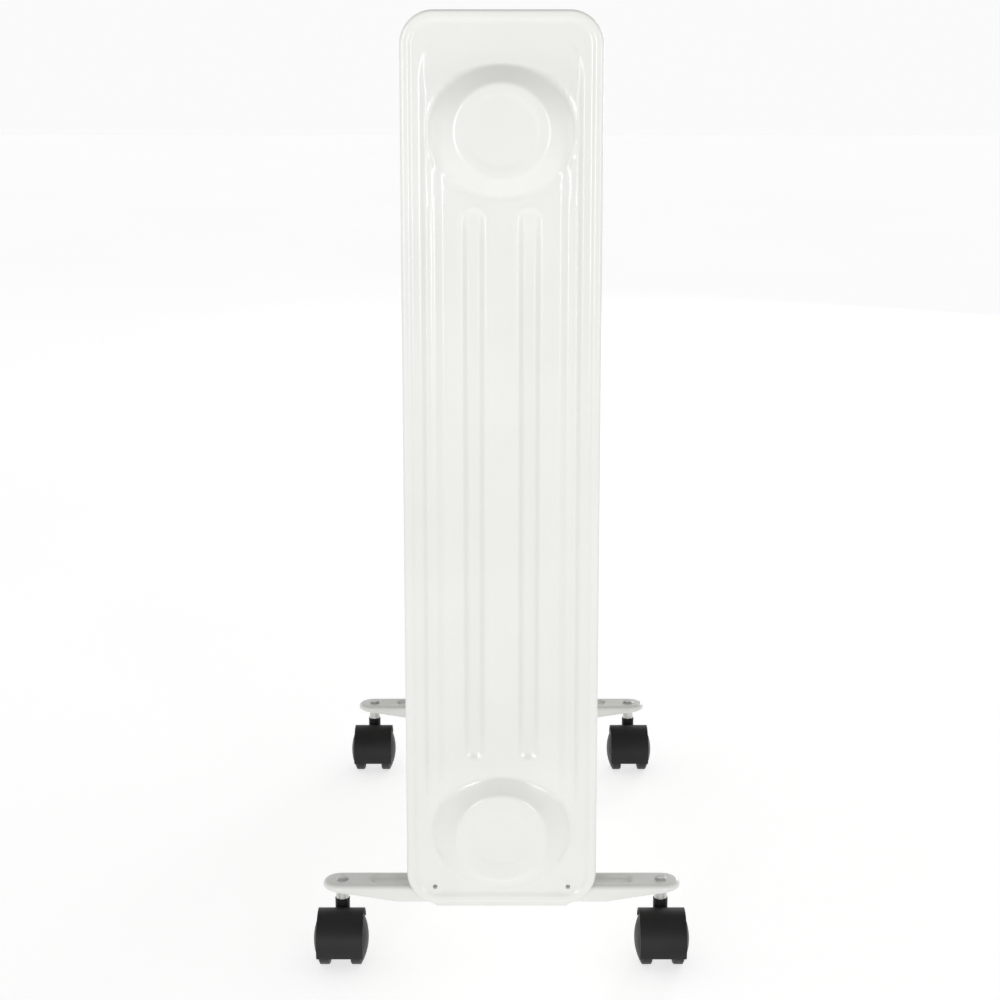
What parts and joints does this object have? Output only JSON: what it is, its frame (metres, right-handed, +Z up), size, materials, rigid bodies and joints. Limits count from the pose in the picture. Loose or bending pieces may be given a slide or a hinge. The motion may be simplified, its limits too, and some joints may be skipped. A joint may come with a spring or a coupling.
{
  "type": "oil filled radiator heater",
  "caption": "Free-standing oil filled electric radiator: white pressed-steel fins on two feet with black twin-wheel casters, and a control box with knob, switches and carry handle at one end.",
  "frame": {"origin": "middle of the heater's footprint, on the floor under the wheels", "axes": "+Z up; X across the fins; +Y along the stack of fins towards the control end, so the plain end faces -Y"},
  "size_m": [0.2512, 0.5112, 0.627],
  "materials": {
    "enamel": "gloss",
    "black_nylon": "satin",
    "wheel_nylon": "satin",
    "zinc_steel": "satin",
    "element_sheath": "satin",
    "flange_brass": "satin",
    "gasket_rubber": "matte",
    "terminal_metal": "satin",
    "galvanised_sheet": "satin",
    "housing_plastic": "satin",
    "panel_plastic": "satin",
    "grip_plastic": "satin",
    "switch_plastic": "gloss",
    "lens": "gloss",
    "moulded_insulator": "satin",
    "cutout_metal": "satin",
    "wire_insulation": "satin"
  },
  "bodies": {
    "radiator": {"carry_handle": "grip_plastic", "caster_stems": "zinc_steel", "control_housing": "housing_plastic", "control_panel": "panel_plastic", "control_screws": "zinc_steel", "cord_gland": "gasket_rubber", "cord_hooks": "grip_plastic", "element_flange": "flange_brass", "element_gasket": "gasket_rubber", "element_long": "element_sheath", "element_short": "element_sheath", "element_terminals": "terminal_metal", "fin_01": "enamel", "fin_02": "enamel", "fin_03": "enamel", "fin_04": "enamel", "fin_05": "enamel", "fin_06": "enamel", "fin_07": "enamel", "fin_08": "enamel", "fin_09": "enamel", "fin_10": "enamel", "fin_11": "enamel", "front_foot_bracket": "enamel", "front_u_bolt": "zinc_steel", "heat_shield": "galvanised_sheet", "indicator_lens": "lens", "oil_filler_plug": "enamel", "rear_foot_bracket": "enamel", "rear_u_bolt": "zinc_steel", "switch_body_high": "switch_plastic", "switch_body_low": "switch_plastic", "terminal_block": "moulded_insulator", "thermal_cutout": "cutout_metal", "thermostat_body": "moulded_insulator", "tip_over_housing": "moulded_insulator", "wing_nuts": "zinc_steel", "wire_loom": "wire_insulation"},
    "caster_fl": {"caster_hood_fl": "black_nylon", "caster_axle_fl": "zinc_steel"},
    "wheel_fl_left": {"wheel_fl_left": "wheel_nylon"},
    "wheel_fl_right": {"wheel_fl_right": "wheel_nylon"},
    "caster_fr": {"caster_hood_fr": "black_nylon", "caster_axle_fr": "zinc_steel"},
    "wheel_fr_left": {"wheel_fr_left": "wheel_nylon"},
    "wheel_fr_right": {"wheel_fr_right": "wheel_nylon"},
    "caster_rl": {"caster_hood_rl": "black_nylon", "caster_axle_rl": "zinc_steel"},
    "wheel_rl_left": {"wheel_rl_left": "wheel_nylon"},
    "wheel_rl_right": {"wheel_rl_right": "wheel_nylon"},
    "caster_rr": {"caster_hood_rr": "black_nylon", "caster_axle_rr": "zinc_steel"},
    "wheel_rr_left": {"wheel_rr_left": "wheel_nylon"},
    "wheel_rr_right": {"wheel_rr_right": "wheel_nylon"},
    "thermostat_dial": {"thermostat_knob": "grip_plastic", "thermostat_shaft": "zinc_steel"},
    "rocker_low": {"rocker_low": "switch_plastic"},
    "rocker_high": {"rocker_high": "switch_plastic"},
    "tip_over_weight": {"tip_over_pendulum": "terminal_metal"}
  },
  "joints": [
    {"name": "caster_swivel_fl", "type": "hinge", "parent": "radiator", "child": "caster_fl", "pos_m": [-0.10725, -0.2224, 0.0395], "axis": [0, 0, 1], "continuous": true},
    {"name": "wheel_spin_fl_left", "type": "hinge", "parent": "caster_fl", "child": "wheel_fl_left", "pos_m": [-0.10725, -0.2364, 0.0176], "axis": [1, 0, 0], "continuous": true},
    {"name": "wheel_spin_fl_right", "type": "hinge", "parent": "caster_fl", "child": "wheel_fl_right", "pos_m": [-0.10725, -0.2364, 0.0176], "axis": [1, 0, 0], "continuous": true},
    {"name": "caster_swivel_fr", "type": "hinge", "parent": "radiator", "child": "caster_fr", "pos_m": [0.10725, -0.2224, 0.0395], "axis": [0, 0, 1], "continuous": true},
    {"name": "wheel_spin_fr_left", "type": "hinge", "parent": "caster_fr", "child": "wheel_fr_left", "pos_m": [0.10725, -0.2364, 0.0176], "axis": [1, 0, 0], "continuous": true},
    {"name": "wheel_spin_fr_right", "type": "hinge", "parent": "caster_fr", "child": "wheel_fr_right", "pos_m": [0.10725, -0.2364, 0.0176], "axis": [1, 0, 0], "continuous": true},
    {"name": "caster_swivel_rl", "type": "hinge", "parent": "radiator", "child": "caster_rl", "pos_m": [-0.10725, 0.1196, 0.0395], "axis": [0, 0, 1], "continuous": true},
    {"name": "wheel_spin_rl_left", "type": "hinge", "parent": "caster_rl", "child": "wheel_rl_left", "pos_m": [-0.10725, 0.1056, 0.0176], "axis": [1, 0, 0], "continuous": true},
    {"name": "wheel_spin_rl_right", "type": "hinge", "parent": "caster_rl", "child": "wheel_rl_right", "pos_m": [-0.10725, 0.1056, 0.0176], "axis": [1, 0, 0], "continuous": true},
    {"name": "caster_swivel_rr", "type": "hinge", "parent": "radiator", "child": "caster_rr", "pos_m": [0.10725, 0.1196, 0.0395], "axis": [0, 0, 1], "continuous": true},
    {"name": "wheel_spin_rr_left", "type": "hinge", "parent": "caster_rr", "child": "wheel_rr_left", "pos_m": [0.10725, 0.1056, 0.0176], "axis": [1, 0, 0], "continuous": true},
    {"name": "wheel_spin_rr_right", "type": "hinge", "parent": "caster_rr", "child": "wheel_rr_right", "pos_m": [0.10725, 0.1056, 0.0176], "axis": [1, 0, 0], "continuous": true},
    {"name": "thermostat_turn", "type": "hinge", "parent": "radiator", "child": "thermostat_dial", "pos_m": [0, 0.2376, 0.45], "axis": [0, -1, 0], "range_deg": [0, 270]},
    {"name": "rocker_low_press", "type": "hinge", "parent": "radiator", "child": "rocker_low", "pos_m": [-0.022, 0.2351, 0.528], "axis": [1, 0, 0], "range_deg": [0, 16]},
    {"name": "rocker_high_press", "type": "hinge", "parent": "radiator", "child": "rocker_high", "pos_m": [0.022, 0.2351, 0.528], "axis": [1, 0, 0], "range_deg": [0, 16]},
    {"name": "tip_over_swing", "type": "hinge", "parent": "radiator", "child": "tip_over_weight", "pos_m": [0, 0.1926, 0.24], "axis": [1, 0, 0], "range_deg": [-25, 25]}
  ]
}
